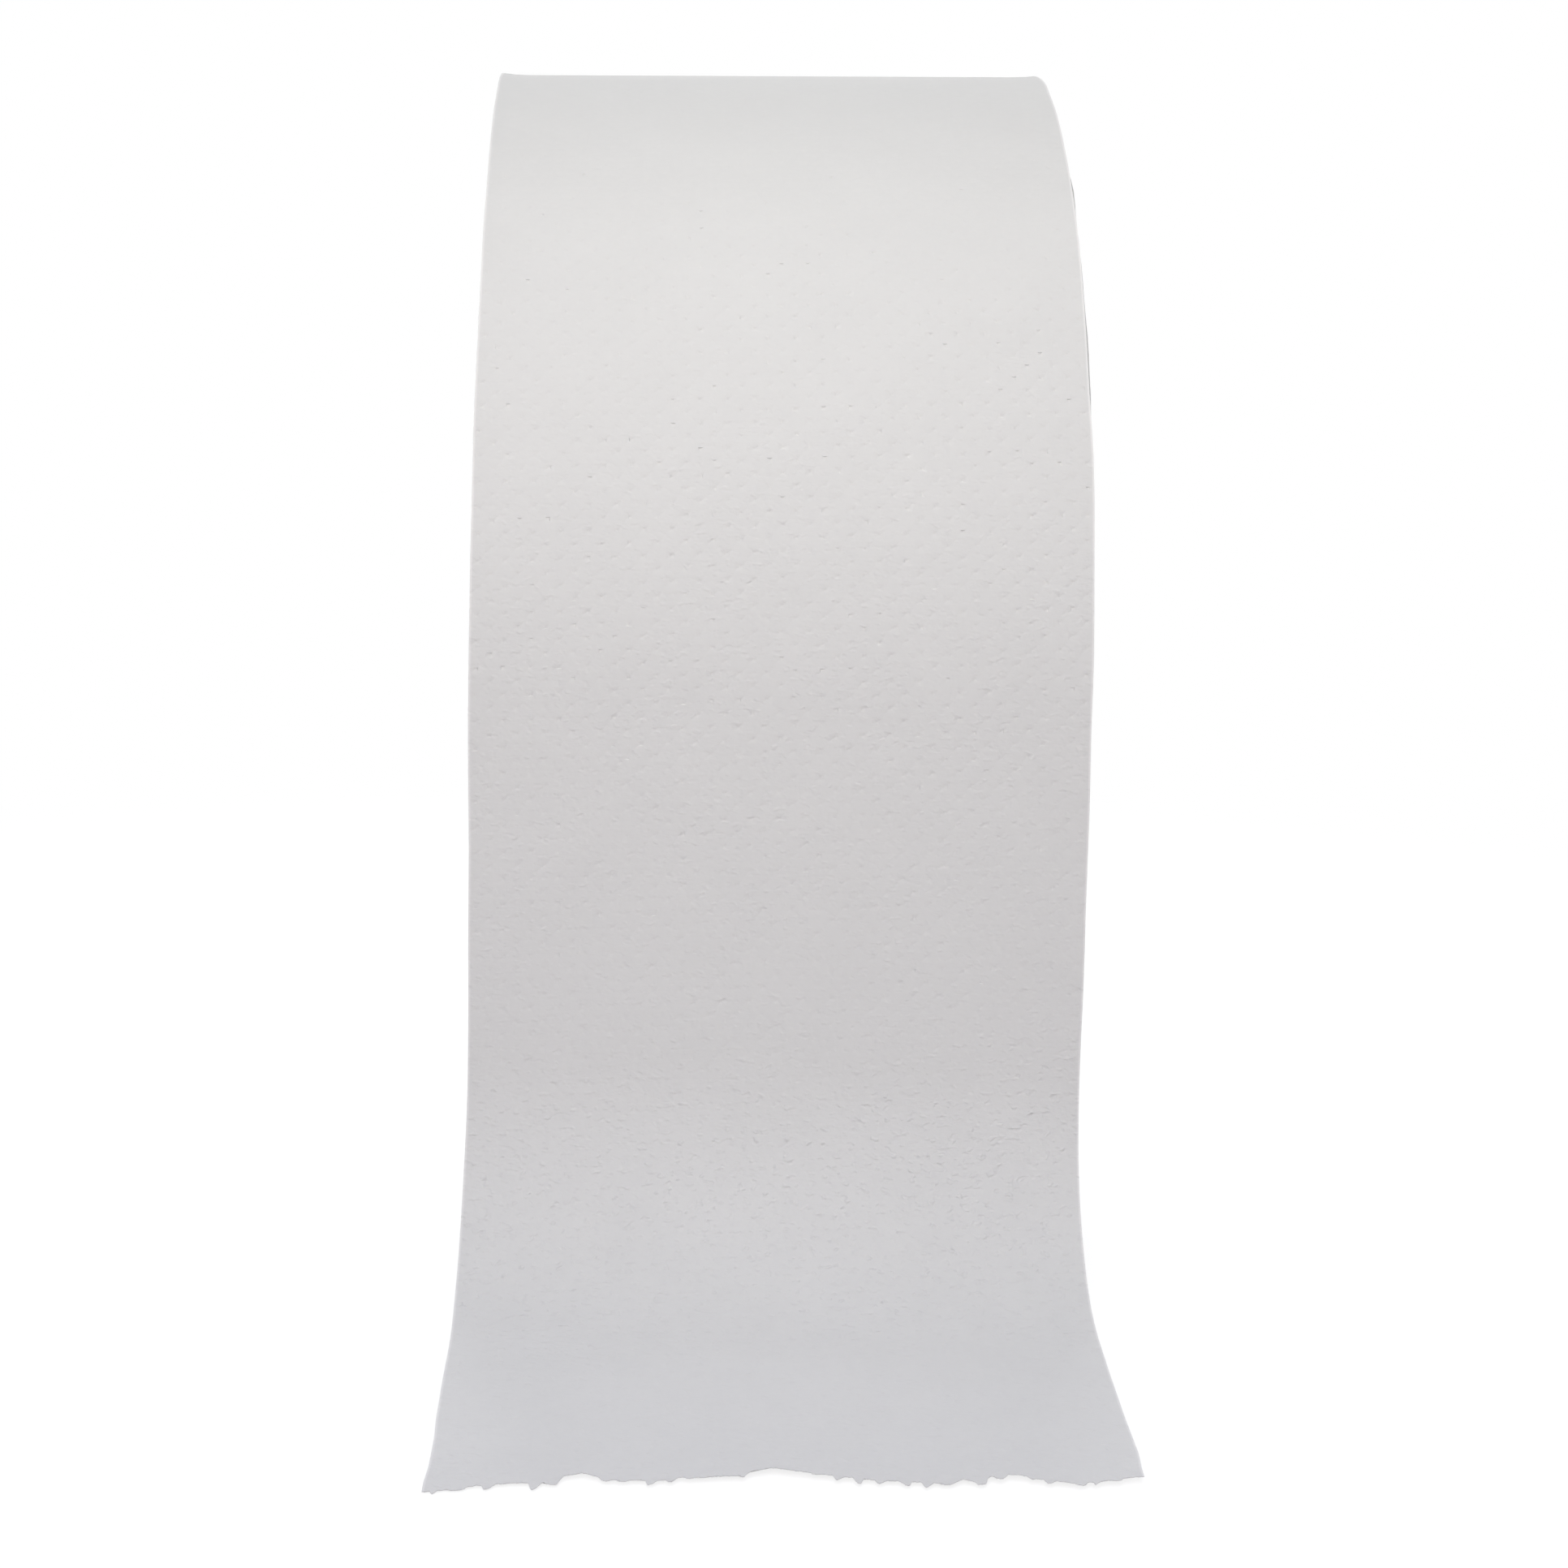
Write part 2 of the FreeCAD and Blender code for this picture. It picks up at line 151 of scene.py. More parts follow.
class StudioSettings(bpy.types.PropertyGroup):
    ambient: bpy.props.FloatProperty(
        name="Ambient", description="Even light from all round", default=0.28, min=0.0)
    key_power: bpy.props.FloatProperty(
        name="Key Power", description="Softbox above in front, in watts", default=0.94, min=0.0)
    upper_power: bpy.props.FloatProperty(
        name="Upper Power", description="Narrow softbox on the upper front, in watts",
        default=0.10, min=0.0)
    tail_power: bpy.props.FloatProperty(
        name="Tail Power", description="Narrow softbox over the lying tail, in watts",
        default=0.03, min=0.0)
    top_power: bpy.props.FloatProperty(
        name="Top Power", description="Softbox overhead, in watts", default=1.65, min=0.0)
    back_power: bpy.props.FloatProperty(
        name="Back Power", description="Softbox above behind, in watts", default=4.2, min=0.0)
    side_power: bpy.props.FloatProperty(
        name="Side Power", description="Low softbox at either end, in watts",
        default=4.4, min=0.0)
    lens: bpy.props.FloatProperty(
        name="Lens", description="Focal length in millimetres on a 36 mm sensor",
        default=64.04, min=10.0)


# ---------------------------------------------------------------- helpers


def select_only(obj):
    """Leave obj alone selected and active."""
    bpy.ops.object.select_all(action="DESELECT")
    obj.select_set(True)
    bpy.context.view_layer.objects.active = obj


def apply_modifier(obj, kind, **settings):
    """Add one modifier with these settings and apply it."""
    select_only(obj)
    modifier = obj.modifiers.new(kind.lower(), kind)
    for key, value in settings.items():
        setattr(modifier, key, value)
    bpy.ops.object.modifier_apply(modifier=modifier.name)


def set_coordinates(obj, shape):
    """Move every vertex of obj to shape(place)."""
    mesh = obj.data
    for vertex in mesh.vertices:
        vertex.co = shape(vertex.co.copy())
    mesh.update()


def turn_out(obj):
    """After a flat piece is wound: merge its doubles and turn its faces outwards."""
    select_only(obj)
    bpy.ops.object.mode_set(mode="EDIT")
    bpy.ops.mesh.select_all(action="SELECT")
    bpy.ops.mesh.remove_doubles(threshold=MERGE)
    bpy.ops.mesh.flip_normals()
    bpy.ops.mesh.select_all(action="DESELECT")
    bpy.ops.object.mode_set(mode="OBJECT")


def wave(x, y, seed, x_length, y_length):
    """Smooth noise from -1 to 1 with these wavelengths in metres."""
    return noise.noise(Vector((x / x_length, y / y_length, seed)))


def smooth_step(value):
    """0 below 0, 1 above 1, and a smooth rise between."""
    value = min(1.0, max(0.0, value))
    return value * value * (3 - 2 * value)


def stepped(steps, along):
    """The sum of smooth steps along the sheet: how much, and start and length in millimetres."""
    return sum(
        much * smooth_step((along - start * MM) / (length * MM)) for much, start, length in steps)


# ---------------------------------------------------------------- the sheet's way


class SheetPath:
    """The way of the outer sheet, seen from the roll's end.

    A place along the sheet is its distance from the line where it leaves the roll:
    negative back over the roll and positive down to the torn edge. The outermost turn is
    a two-centred spiral, so each turn lies one sheet further in than the next.
    """

    def __init__(self, sizes):
        self.radius = ROLL_HIGH.z
        self.floor = ROLL_LOW.z
        self.thick = sizes.sheet_thickness
        self.lean = sizes.hang_lean
        self.slope = sizes.lie_slope
        self.bend = sizes.bend_radius
        self.low_radius = self.radius - self.thick / 2
        self.low_centre = self.toward(self.lean) * (self.thick / 2)
        self.leave = self.toward(math.pi + self.lean) * self.radius

        tip_under = Vector((ROLL_LOW.y, self.floor))
        tip_top = tip_under + self.toward(math.pi / 2 + self.slope) * self.thick
        across = self.leave.dot(self.toward(self.lean)) - self.bend
        upward = tip_top.dot(self.toward(math.pi / 2 + self.slope)) + self.bend
        spread = math.cos(self.lean - self.slope)
        self.bend_centre = Vector((
            (across * math.cos(self.slope) - upward * math.sin(self.lean)) / spread,
            (upward * math.cos(self.lean) + across * math.sin(self.slope)) / spread,
        ))
        hang_end = self.bend_centre + self.toward(self.lean) * self.bend
        self.hang_length = (hang_end - self.leave).length
        self.turn = math.pi / 2 + self.lean - self.slope
        self.bend_end = self.hang_length + self.bend * self.turn
        self.lie_start = self.bend_centre + self.toward(self.slope - math.pi / 2) * self.bend
        self.tip = self.bend_end + (tip_top - self.lie_start).length
        self.top_length = math.pi * self.radius
        self.seam = -self.top_length - (math.pi / 2 + self.lean) * self.low_radius
        self.cusp = -self.top_length - math.pi * self.low_radius

    @staticmethod
    def toward(angle):
        """One unit towards an angle, as (Y, Z)."""
        return Vector((math.cos(angle), math.sin(angle)))

    def at(self, along):
        """Place on the sheet's outer face and its outward direction, as (Y, Z) pairs."""
        if along < -self.top_length:
            angle = self.lean + (along + self.top_length) / self.low_radius
            place = self.low_centre + self.toward(angle) * self.low_radius
            return self.on_floor(place, self.toward(angle))
        if along < 0:
            outward = self.toward(math.pi + self.lean + along / self.radius)
            return outward * self.radius, outward
        if along < self.hang_length:
            outward = self.toward(math.pi + self.lean)
            return self.leave + self.toward(self.lean - math.pi / 2) * along, outward
        if along < self.bend_end:
            angle = self.lean - (along - self.hang_length) / self.bend
            inward = self.toward(angle)
            return self.bend_centre + inward * self.bend, -inward
        outward = self.toward(math.pi / 2 + self.slope)
        way = self.toward(math.pi + self.slope)
        return self.lie_start + way * (along - self.bend_end), outward

    def on_floor(self, place, outward):
        """The roll's flat spot: nothing of it reaches below the floor."""
        if place.y > self.floor:
            return place, outward
        return Vector((place.x, self.floor)), Vector((0.0, -1.0))

    def under_sheet(self, angle):
        """Radius of the turns beneath the outer sheet, at an angle round the roll."""
        below = (angle - self.lean) % (2 * math.pi) > math.pi
        if not below:
            return self.radius - self.thick
        return self.low_radius - self.thick + self.low_centre.dot(self.toward(angle))


# ---------------------------------------------------------------- embossed sheet


def torn_line(place, wander):
    """Metres that the torn edge stays short of the tip, at a share of half the width.

    wander is the seed of the edge's finest raggedness, one for each ply.
    """
    percent = 100 * place
    for (left, left_short), (right, right_short) in zip(TORN_WAVE, TORN_WAVE[1:]):
        if percent <= right:
            short = left_short + (percent - left) / (right - left) * (right_short - left_short)
            break
    half = ROLL_HIGH.x / MM
    for nib, length, wide, steep in TORN_NIBS:
        lean = NIB_LEAN * steep
        away = (percent - nib) / 100 * half / (wide / 2) - lean
        reach = 1 + lean if away < 0 else 1 - lean
        short -= length * max(0.0, 1 - abs(away / reach) ** NIB_POINT)
    for length, often, seed in ((0.24, 0.9, 0.0), (0.16, 2.3, 5.0), (0.08, 5.1, 9.0)):
        short += length * noise.noise(Vector((percent * often, wander, seed)))
    return short * MM


def torn_cutter(path, sizes):
    """A block over all that is torn off the flat sheet; the two plies tear a little apart."""
    points = 620
    wider = 1.05
    clear = 1 * MM
    ply_step = 0.01 * MM
    bpy.ops.object.select_all(action="DESELECT")
    bpy.ops.mesh.primitive_grid_add(x_subdivisions=points, y_subdivisions=3, size=2)
    cutter = bpy.context.object
    cutter.name = "torn_off"
    bpy.ops.object.mode_set(mode="EDIT")
    bpy.ops.mesh.select_all(action="SELECT")
    bpy.ops.mesh.extrude_region_move(TRANSFORM_OT_translate={"value": (0, 0, 1)})
    bpy.ops.object.mode_set(mode="OBJECT")
    half = ROLL_HIGH.x
    tilt = math.tan(sizes.dot_tilt)
    between = path.thick / 2

    def shape(place):
        share = place.x * wider
        upper = place.y > 0
        edge = path.tip - torn_line(share, UPPER_PLY if upper else LOWER_PLY)
        beyond = path.tip + 4 * TORN_SPARE
        along = beyond if place.z > 0.5 else edge + share * half * tilt
        level = clear if abs(place.y) > 0.9 else ply_step
        return Vector((share * half, along, math.copysign(level, place.y) - between))

    set_coordinates(cutter, shape)
    select_only(cutter)
    bpy.ops.object.mode_set(mode="EDIT")
    bpy.ops.mesh.select_all(action="SELECT")
    bpy.ops.mesh.normals_make_consistent(inside=False)
    bpy.ops.object.mode_set(mode="OBJECT")
    return cutter


def flat_strip(name, path, sizes, start, end):
    """The sheet before it is wound: X across, Y along it, its outer face at height 0."""
    left = ROLL_LOW.x + sizes.left_inset
    right = ROLL_HIGH.x - sizes.right_inset
    columns = round((right - left) / sizes.dot_column)
    rows = round((end - start) / sizes.dot_row)
    bpy.ops.object.select_all(action="DESELECT")
    bpy.ops.mesh.primitive_grid_add(x_subdivisions=columns, y_subdivisions=rows, size=2)
    strip = bpy.context.object
    strip.name = name
    middle = Vector(((left + right) / 2, (start + end) / 2, 0))
    half = Vector(((right - left) / 2, (end - start) / 2, 0))
    set_coordinates(strip, lambda place: middle + place * half)
    apply_modifier(strip, "SOLIDIFY", thickness=path.thick, offset=-1.0)
    return strip, (left, (right - left) / columns), (start, (end - start) / rows)


def dot_strength(column, row, far):
    """How deep one dot is: every other diagonal is a little fainter, and all differ.

    far is the place along the sheet. The free sheet has been handled, and its dots are
    shallower from 0 on. They are flattest on the upper front, where the roll is held.
    """
    diagonal = (column - row) // 2
    even = 1.0 if diagonal % 2 else 0.9
    chance = noise.noise(Vector((column * 0.73 + 3, row * 0.61, 2.0)))
    slow = noise.noise(Vector((column * 0.11, row * 0.09, 9.0)))
    handled = 1 - stepped(((0.2, 0, 25), (0.3, 45, 20), (0.15, 90, 25)), far)
    handled -= 0.66 * math.exp(-((far + 135 * MM) / (50 * MM)) ** 2)
    return handled * min(1.0, max(0.2, even * (0.95 + 0.45 * chance) + 0.3 * slow))


def dot_shift(column, row):
    """Where one dot sits off its place, and how much wider and taller it is pressed."""
    right = 0.28 * MM * noise.noise(Vector((column * 1.3, row * 1.7, 4.0)))
    up = 0.28 * MM * noise.noise(Vector((column * 1.1, row * 1.9, 7.0)))
    wider = 0.95 + 0.5 * noise.noise(Vector((column * 0.9, row * 1.2, 14.0)))
    taller = 1.1 + 0.5 * noise.noise(Vector((column * 1.4, row * 0.8, 17.0)))
    return right, up, wider, taller


def emboss(strip, sizes, path, across, along, under):
    """Press a dot into every other cell of the flat strip, like a chessboard.

    across and along give the strip's first edge and the size of a cell, each way. On the
    under side the same dots stand out, where the sheet hangs free.
    """
    left, wide = across
    start, long = along
    mesh = strip.data
    cell_area = wide * long
    face_height = -path.thick if under else 0.0
    facing = -1 if under else 1
    tilt = math.tan(sizes.dot_tilt)
    plain_edge = 3.4 * MM

    def cell(place):
        return int((place.x - left) // wide), int((place.y - start) // long)

    def embossed(place):
        far = place.y - place.x * tilt
        edge = path.tip - torn_line(place.x / ROLL_HIGH.x, UPPER_PLY)
        return far < edge - plain_edge and (far > 0 or not under)

    for polygon in mesh.polygons:
        column, row = cell(polygon.center)
        polygon.select = (
            polygon.normal.z * facing > 0.9
            and embossed(polygon.center)
            and abs(polygon.area - cell_area) < 0.01 * cell_area
            and (column + row) % 2 == 0
        )
    depth = 0.7 * sizes.dot_depth if under else -sizes.dot_depth
    pucker = 0.3 * depth
    select_only(strip)
    bpy.ops.object.mode_set(mode="EDIT")
    bpy.ops.mesh.select_mode(type="FACE")
    margin = (wide - sizes.dot_width) / 2
    wall = 0.3 * sizes.dot_width
    bpy.ops.mesh.inset(thickness=margin, depth=pucker, use_individual=True)
    bpy.ops.mesh.inset(thickness=wall, depth=depth - pucker, use_individual=True)
    bpy.ops.object.mode_set(mode="OBJECT")

    for polygon in mesh.polygons:
        if not polygon.select:
            continue
        column, row = cell(polygon.center)
        middle = polygon.center.copy()
        strength = dot_strength(column, row, middle.y)
        right, up, wider, taller = dot_shift(column, row)
        for index in polygon.vertices:
            place = mesh.vertices[index].co
            mesh.vertices[index].co = Vector((
                middle.x + (place.x - middle.x) * wider + right,
                middle.y + (place.y - middle.y) * taller + up,
                face_height + (place.z - face_height) * strength,
            ))
        polygon.select = False


def add_sheet_map(strip):
    """A map in metres, across and along the flat sheet, that its finish follows."""
    layer = strip.data.uv_layers.new(name="sheet")
    for loop in strip.data.loops:
        place = strip.data.vertices[loop.vertex_index].co
        layer.data[loop.index].uv = (place.x, place.y)


def edge_drift(share, along):
    """How far the sheet lies sideways, at a share of half the width and a place along it."""
    left = stepped(LEFT_DRIFT, along)
    right = stepped(RIGHT_DRIFT, along)
    both = 0.12 * noise.noise(Vector((along / (16 * MM), share * 0.6, 21.0)))
    return (left * (1 - share) / 2 + right * (1 + share) / 2 + both) * MM


def crown(share, height):
    """The roll spreads a touch sideways at its very top: softly left, abruptly right."""
    level = max(0.0, height / ROLL_HIGH.z)
    if share < 0:
        return 0.9 * level ** 10 * share * MM
    spread = 0.2 * level ** 12 + 0.35 * smooth_step((level - 0.94) / 0.035)
    return spread * share * MM


def slipped_out(side, place, depth):
    """How far the turns next under the outer sheet slip out to the right, high in front.

    place is (Y, Z), and depth is how far the turn lies below the outer sheet.
    """
    if side < 0 or place.x > 0 or depth > 1.2 * MM:
        return 0.0
    band = smooth_step((place.y - 36 * MM) / (6 * MM))
    band -= smooth_step((place.y - 76 * MM) / (6 * MM))
    uneven = 0.75 + 0.7 * noise.noise(Vector((place.y / (9 * MM), 0.0, 31.0)))
    return 0.38 * MM * band * max(0.0, uneven)


def top_level(share, height):
    """How far the outer turns stand up along the roll's top, rising from left to right."""
    return (0.45 * share - 0.2) * MM * max(0.0, height / ROLL_HIGH.z) ** 2


def curled_up(share, height):
    """How far the outer sheet's two edges curl up from the turns beneath, at the top."""
    left = 0.35 * smooth_step((-share - 0.93) / 0.07)
    right = 0.2 * smooth_step((share - 0.93) / 0.07)
    return (left + right) * MM * max(0.0, height / ROLL_HIGH.z) ** 2


def wind(strip, path, sizes):
    """Lay the flat strip along the sheet's way, with waves that grow where it hangs free."""
    tilt = math.tan(sizes.dot_tilt)
    held_wave = 0.04 * MM
    free_wave = 0.35 * MM

    def shape(place):
        along = place.y - place.x * tilt
        share = place.x / ROLL_HIGH.x
        point, outward = path.at(along)
        free = smooth_step(along / (40 * MM))
        height = place.z
        height += held_wave * wave(place.x, along, 1.0, 55 * MM, 28 * MM)
        height += free * free_wave * wave(place.x, along, 3.0, 60 * MM, 34 * MM)
        height += top_level(share, point.y) + curled_up(share, point.y)
        point = point + outward * height
        x = place.x + edge_drift(share, along) + crown(share, point.y)
        return Vector((x, point.x, max(point.y, path.floor)))

    set_coordinates(strip, shape)


def thin_torn_edge(strip, path, sizes):
    """Let the paper thin out to loose fibres at its torn edge, before it is wound."""
    tilt = math.tan(sizes.dot_tilt)
    fray = 0.6 * MM
    fibres = 0.3 * path.thick

    def shape(place):
        far = place.y - place.x * tilt
        edge = path.tip - torn_line(place.x / ROLL_HIGH.x, UPPER_PLY)
        if far > edge - fray:
            place.z = max(place.z, -fibres)
        return place

    set_coordinates(strip, shape)


def finish_piece(obj):
    """Smooth faces with sharp rims, and ride with the roll."""
    select_only(obj)
    bpy.ops.object.shade_smooth_by_angle(angle=math.radians(50))
    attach(obj, "root")


def make_sheet(name, sizes, path, start, end):
    """One stretch of the embossed sheet, from start to end along its way."""
    strip, across, along = flat_strip(name, path, sizes, start, end)
    torn = end > path.tip
    if torn:
        cutter = torn_cutter(path, sizes)
        apply_modifier(strip, "BOOLEAN", object=cutter, operation="DIFFERENCE", solver="EXACT")
        bpy.data.objects.remove(cutter)
    emboss(strip, sizes, path, across, along, under=False)
    if torn:
        emboss(strip, sizes, path, across, along, under=True)
        thin_torn_edge(strip, path, sizes)
    add_sheet_map(strip)
    wind(strip, path, sizes)
    turn_out(strip)
    strip.data.materials.clear()
    strip.data.materials.append(tissue_finish())
    return strip


# ---------------------------------------------------------------- wound turns


def turn_relief(turn):
    """How deep the groove beside a turn's edge is, counted from the core."""
    uneven = 0.10 * noise.noise(Vector((turn * 0.83, 1.5, 0.0)))
    uneven += 0.16 * noise.noise(Vector((turn * 0.13, 7.5, 0.0)))
    return (0.20 + uneven) * MM


def turn_ring(sizes):
    """A section spun round the axis: end faces cut into rings, a plain bore and rim."""
    steps = 180
    half = ROLL_HIGH.x
    bore = CORE_HIGH.z
    rim = ROLL_HIGH.z
    bpy.ops.object.select_all(action="DESELECT")
    bpy.ops.mesh.primitive_plane_add(size=2)
    ring = bpy.context.object
    ring.name = "wound_turns"
    bpy.ops.object.mode_set(mode="EDIT")
    bpy.ops.mesh.select_mode(type="EDGE")
    bpy.ops.mesh.delete(type="ONLY_FACE")
    bpy.ops.mesh.select_all(action="DESELECT")
    bpy.ops.object.mode_set(mode="OBJECT")
    middle = (bore + rim) / 2
    deep = (rim - bore) / 2
    set_coordinates(ring, lambda place: Vector((place.x * half, 0, middle + place.y * deep)))
    vertices = ring.data.vertices
    for edge in ring.data.edges:
        start, end = (vertices[index].co for index in edge.vertices)
        edge.select = abs(start.x - end.x) < half
    bpy.ops.object.mode_set(mode="EDIT")
    bpy.ops.mesh.subdivide(number_cuts=2 * sizes.turn_count - 1)
    bpy.ops.mesh.select_all(action="SELECT")
    bpy.ops.mesh.spin(steps=steps, angle=2 * math.pi, center=(0, 0, 0), axis=(1, 0, 0))
    bpy.ops.mesh.select_all(action="SELECT")
    bpy.ops.mesh.remove_doubles(threshold=MERGE)
    bpy.ops.mesh.normals_make_consistent(inside=False)
    bpy.ops.object.mode_set(mode="OBJECT")
    return ring


def ridge_turns(ring, sizes, path):
    """Sink every other line of the end faces, and fit the rim under the outer sheet."""
    half = ROLL_HIGH.x
    bore = CORE_HIGH.z
    rim = ROLL_HIGH.z
    pitch = (rim - bore) / sizes.turn_count
    unevenness = 0.07 * MM
    sway_far = 0.30 * MM
    rim_corner = 0.4 * MM
    right_proud = 0.22 * MM

    def shape(place):
        radius = math.hypot(place.y, place.z)
        angle = math.atan2(place.z, place.y)
        outward = Vector((math.cos(angle), math.sin(angle)))
        turn = (radius - bore) / pitch
        side = 1 if place.x > 0 else -1
        seed = 40 * side
        sunk = round(2 * turn) % 2
        fade = max(0.0, min(1.0, turn / 2))
        inset = turn_relief(turn + seed) * (0.35 + 0.65 * sunk) * fade
        rough = noise.noise(Vector((outward.x * 3, outward.y * 3, turn + seed)))
        inset += unevenness * (1 + rough)
        if turn > 0.1:  # all but the bore, which fits the core
            sway = noise.noise(Vector((outward.x * 2, outward.y * 2, turn * 0.3 + seed)))
            share = min(1.0, turn / 6, (sizes.turn_count - turn) / 6)
            radius += sway_far * sway * max(0.0, share)
            radius += top_level(side, outward.y * radius) * (radius / rim) ** 4
            radius *= (path.under_sheet(angle) - CLOSE_GAP) / rim
        depth = rim - (bore + turn * pitch)
        if turn > sizes.turn_count - 0.25:
            inset += rim_corner
        else:
            inset -= slipped_out(side, outward * radius, depth)
        if side > 0:
            inset -= right_proud * fade
        place_z = max(outward.y * radius, path.floor + path.thick)
        x = side * (half - inset) + crown(side, outward.y * radius)
        return Vector((x, outward.x * radius, place_z))

    set_coordinates(ring, shape)


def add_turn_map(ring):
    """The same map as the sheet's: across, and along the outermost turn."""
    layer = ring.data.uv_layers.new(name="sheet")
    for polygon in ring.data.polygons:
        middle = math.atan2(polygon.center.z, polygon.center.y)
        for index in polygon.loop_indices:
            place = ring.data.vertices[ring.data.loops[index].vertex_index].co
            angle = math.atan2(place.z, place.y)
            angle += 2 * math.pi * round((middle - angle) / (2 * math.pi))
            layer.data[index].uv = (place.x, angle * ROLL_HIGH.z)


def paint_turns(ring):
    """Tissue on the outer turn, and cut edges on both end faces."""
    ring.data.materials.clear()
    ring.data.materials.append(tissue_finish())
    ring.data.materials.append(turn_edge_finish())
    for polygon in ring.data.polygons:
        polygon.material_index = 1 if abs(polygon.normal.x) > 0.5 else 0


# ---------------------------------------------------------------- core


def core_wall():
    """The flat cardboard that the core is wound from: X along the core, Y round it."""
    along, around = 40, 180
    bpy.ops.object.select_all(action="DESELECT")
    bpy.ops.mesh.primitive_grid_add(x_subdivisions=along, y_subdivisions=around, size=2)
    wall = bpy.context.object
    wall.name = "cardboard_core"
    return wall


def wind_core(wall, sizes):
    """Roll the cardboard into a tube whose long seam runs round it once in its lead."""
    half = CORE_HIGH.x
    bore = sizes.core_bore / 2
    thick = CORE_HIGH.z - bore
    lead = 150 * MM
    seam_gap = 0.12 * MM / bore
    lip = 0.10 * MM
    worn = 0.09 * MM
    apply_modifier(wall, "SOLIDIFY", thickness=thick, offset=1.0)

    def shape(place):
        x = place.x * half
        angle = place.y * (math.pi - seam_gap / 2) + x / lead * 2 * math.pi
        radius = bore + place.z
        if place.z < thick / 2:
            radius += lip * (place.y * 0.5 + 0.5) ** 6
        rough = noise.noise(Vector((math.cos(angle) * 9, math.sin(angle) * 9, place.x * 4)))
        if abs(place.x) > 0.97:
            x -= math.copysign(worn * (1 + rough), x)
        return Vector((x, radius * math.cos(angle), radius * math.sin(angle)))

    set_coordinates(wall, shape)
    turn_out(wall)


# ---------------------------------------------------------------- finishes


def new_material(name, roughness):
    """A material with its shader, and the tree to add to."""
    material = bpy.data.materials.new(name)
    material.use_nodes = True
    tree = material.node_tree
    shader = tree.nodes["Principled BSDF"]
    shader.inputs["Roughness"].default_value = roughness
    shader.inputs["Specular IOR Level"].default_value = 0.2
    return material, tree, shader


def add_node(tree, kind, **settings):
    """A node with these inputs and options."""
    node = tree.nodes.new(kind)
    for key, value in settings.items():
        if key in node.inputs:
            node.inputs[key].default_value = value
        else:
            setattr(node, key, value)
    return node


def mapped_noise(tree, coordinates, lengths, detail):
    """Noise with a wavelength of its own along each axis, in metres."""
    mapping = add_node(tree, "ShaderNodeMapping", Scale=[1 / length for length in lengths])
    texture = add_node(tree, "ShaderNodeTexNoise", Scale=1.0, Detail=detail, Roughness=0.55)
    tree.links.new(coordinates, mapping.inputs["Vector"])
    tree.links.new(mapping.outputs["Vector"], texture.inputs["Vector"])
    return texture.outputs["Fac"]


def scaled(tree, value, factor, offset=0.0):
    """value times factor plus offset."""
    node = add_node(tree, "ShaderNodeMath", operation="MULTIPLY_ADD")
    node.inputs[1].default_value = factor
    node.inputs[2].default_value = offset
    tree.links.new(value, node.inputs[0])
    return node.outputs[0]


def combined(tree, operation, first, second):
    """Two values put together by one Math operation."""
    node = add_node(tree, "ShaderNodeMath", operation=operation)
    tree.links.new(first, node.inputs[0])
    tree.links.new(second, node.inputs[1])
    return node.outputs[0]


def added(tree, first, second):
    return combined(tree, "ADD", first, second)


def multiplied(tree, first, second):
    return combined(tree, "MULTIPLY", first, second)


def risen(tree, value, start, end):
    """0 where value is below start, rising smoothly to 1 at end."""
    rise = add_node(tree, "ShaderNodeMapRange", interpolation_type="SMOOTHSTEP")
    rise.inputs["From Min"].default_value = start
    rise.inputs["From Max"].default_value = end
    tree.links.new(value, rise.inputs["Value"])
    return rise.outputs["Result"]


def bumped(tree, shader, height, strength, distance):
    """Raise the shader's surface by a height map."""
    bump = add_node(tree, "ShaderNodeBump", Strength=strength, Distance=distance)
    tree.links.new(height, bump.inputs["Height"])
    tree.links.new(bump.outputs["Normal"], shader.inputs["Normal"])


def blended(tree, share, first, second):
    """A colour between two, by share."""
    node = add_node(tree, "ShaderNodeMix", data_type="RGBA")
    node.inputs[6].default_value = (*first, 1)
    node.inputs[7].default_value = (*second, 1)
    tree.links.new(share, node.inputs[0])
    return node.outputs[2]


def cut_edge_fluff_and_highlight(tree, paper):
    """1 on the paler fluff and painted highlight along the sheet's two cut edges, and 0
    elsewhere.
    """
    parts = add_node(tree, "ShaderNodeSeparateXYZ")
    beside = add_node(tree, "ShaderNodeMath", operation="ABSOLUTE")
    tree.links.new(paper, parts.inputs[0])
    tree.links.new(parts.outputs["X"], beside.inputs[0])
    return risen(tree, beside.outputs[0], ROLL_HIGH.x - 0.55 * MM, ROLL_HIGH.x - 0.25 * MM)


def along_sheet(tree, paper, start, end):
    """0 before start along the sheet, rising to 1 at end."""
    parts = add_node(tree, "ShaderNodeSeparateXYZ")
    tree.links.new(paper, parts.inputs[0])
    return risen(tree, parts.outputs["Y"], start, end)


def spots(tree, coordinates, lengths):
    """Separate soft spots of 1 on a ground of 0: the peaks of smooth noise."""
    return risen(tree, mapped_noise(tree, coordinates, lengths, 1.0), 0.56, 0.76)


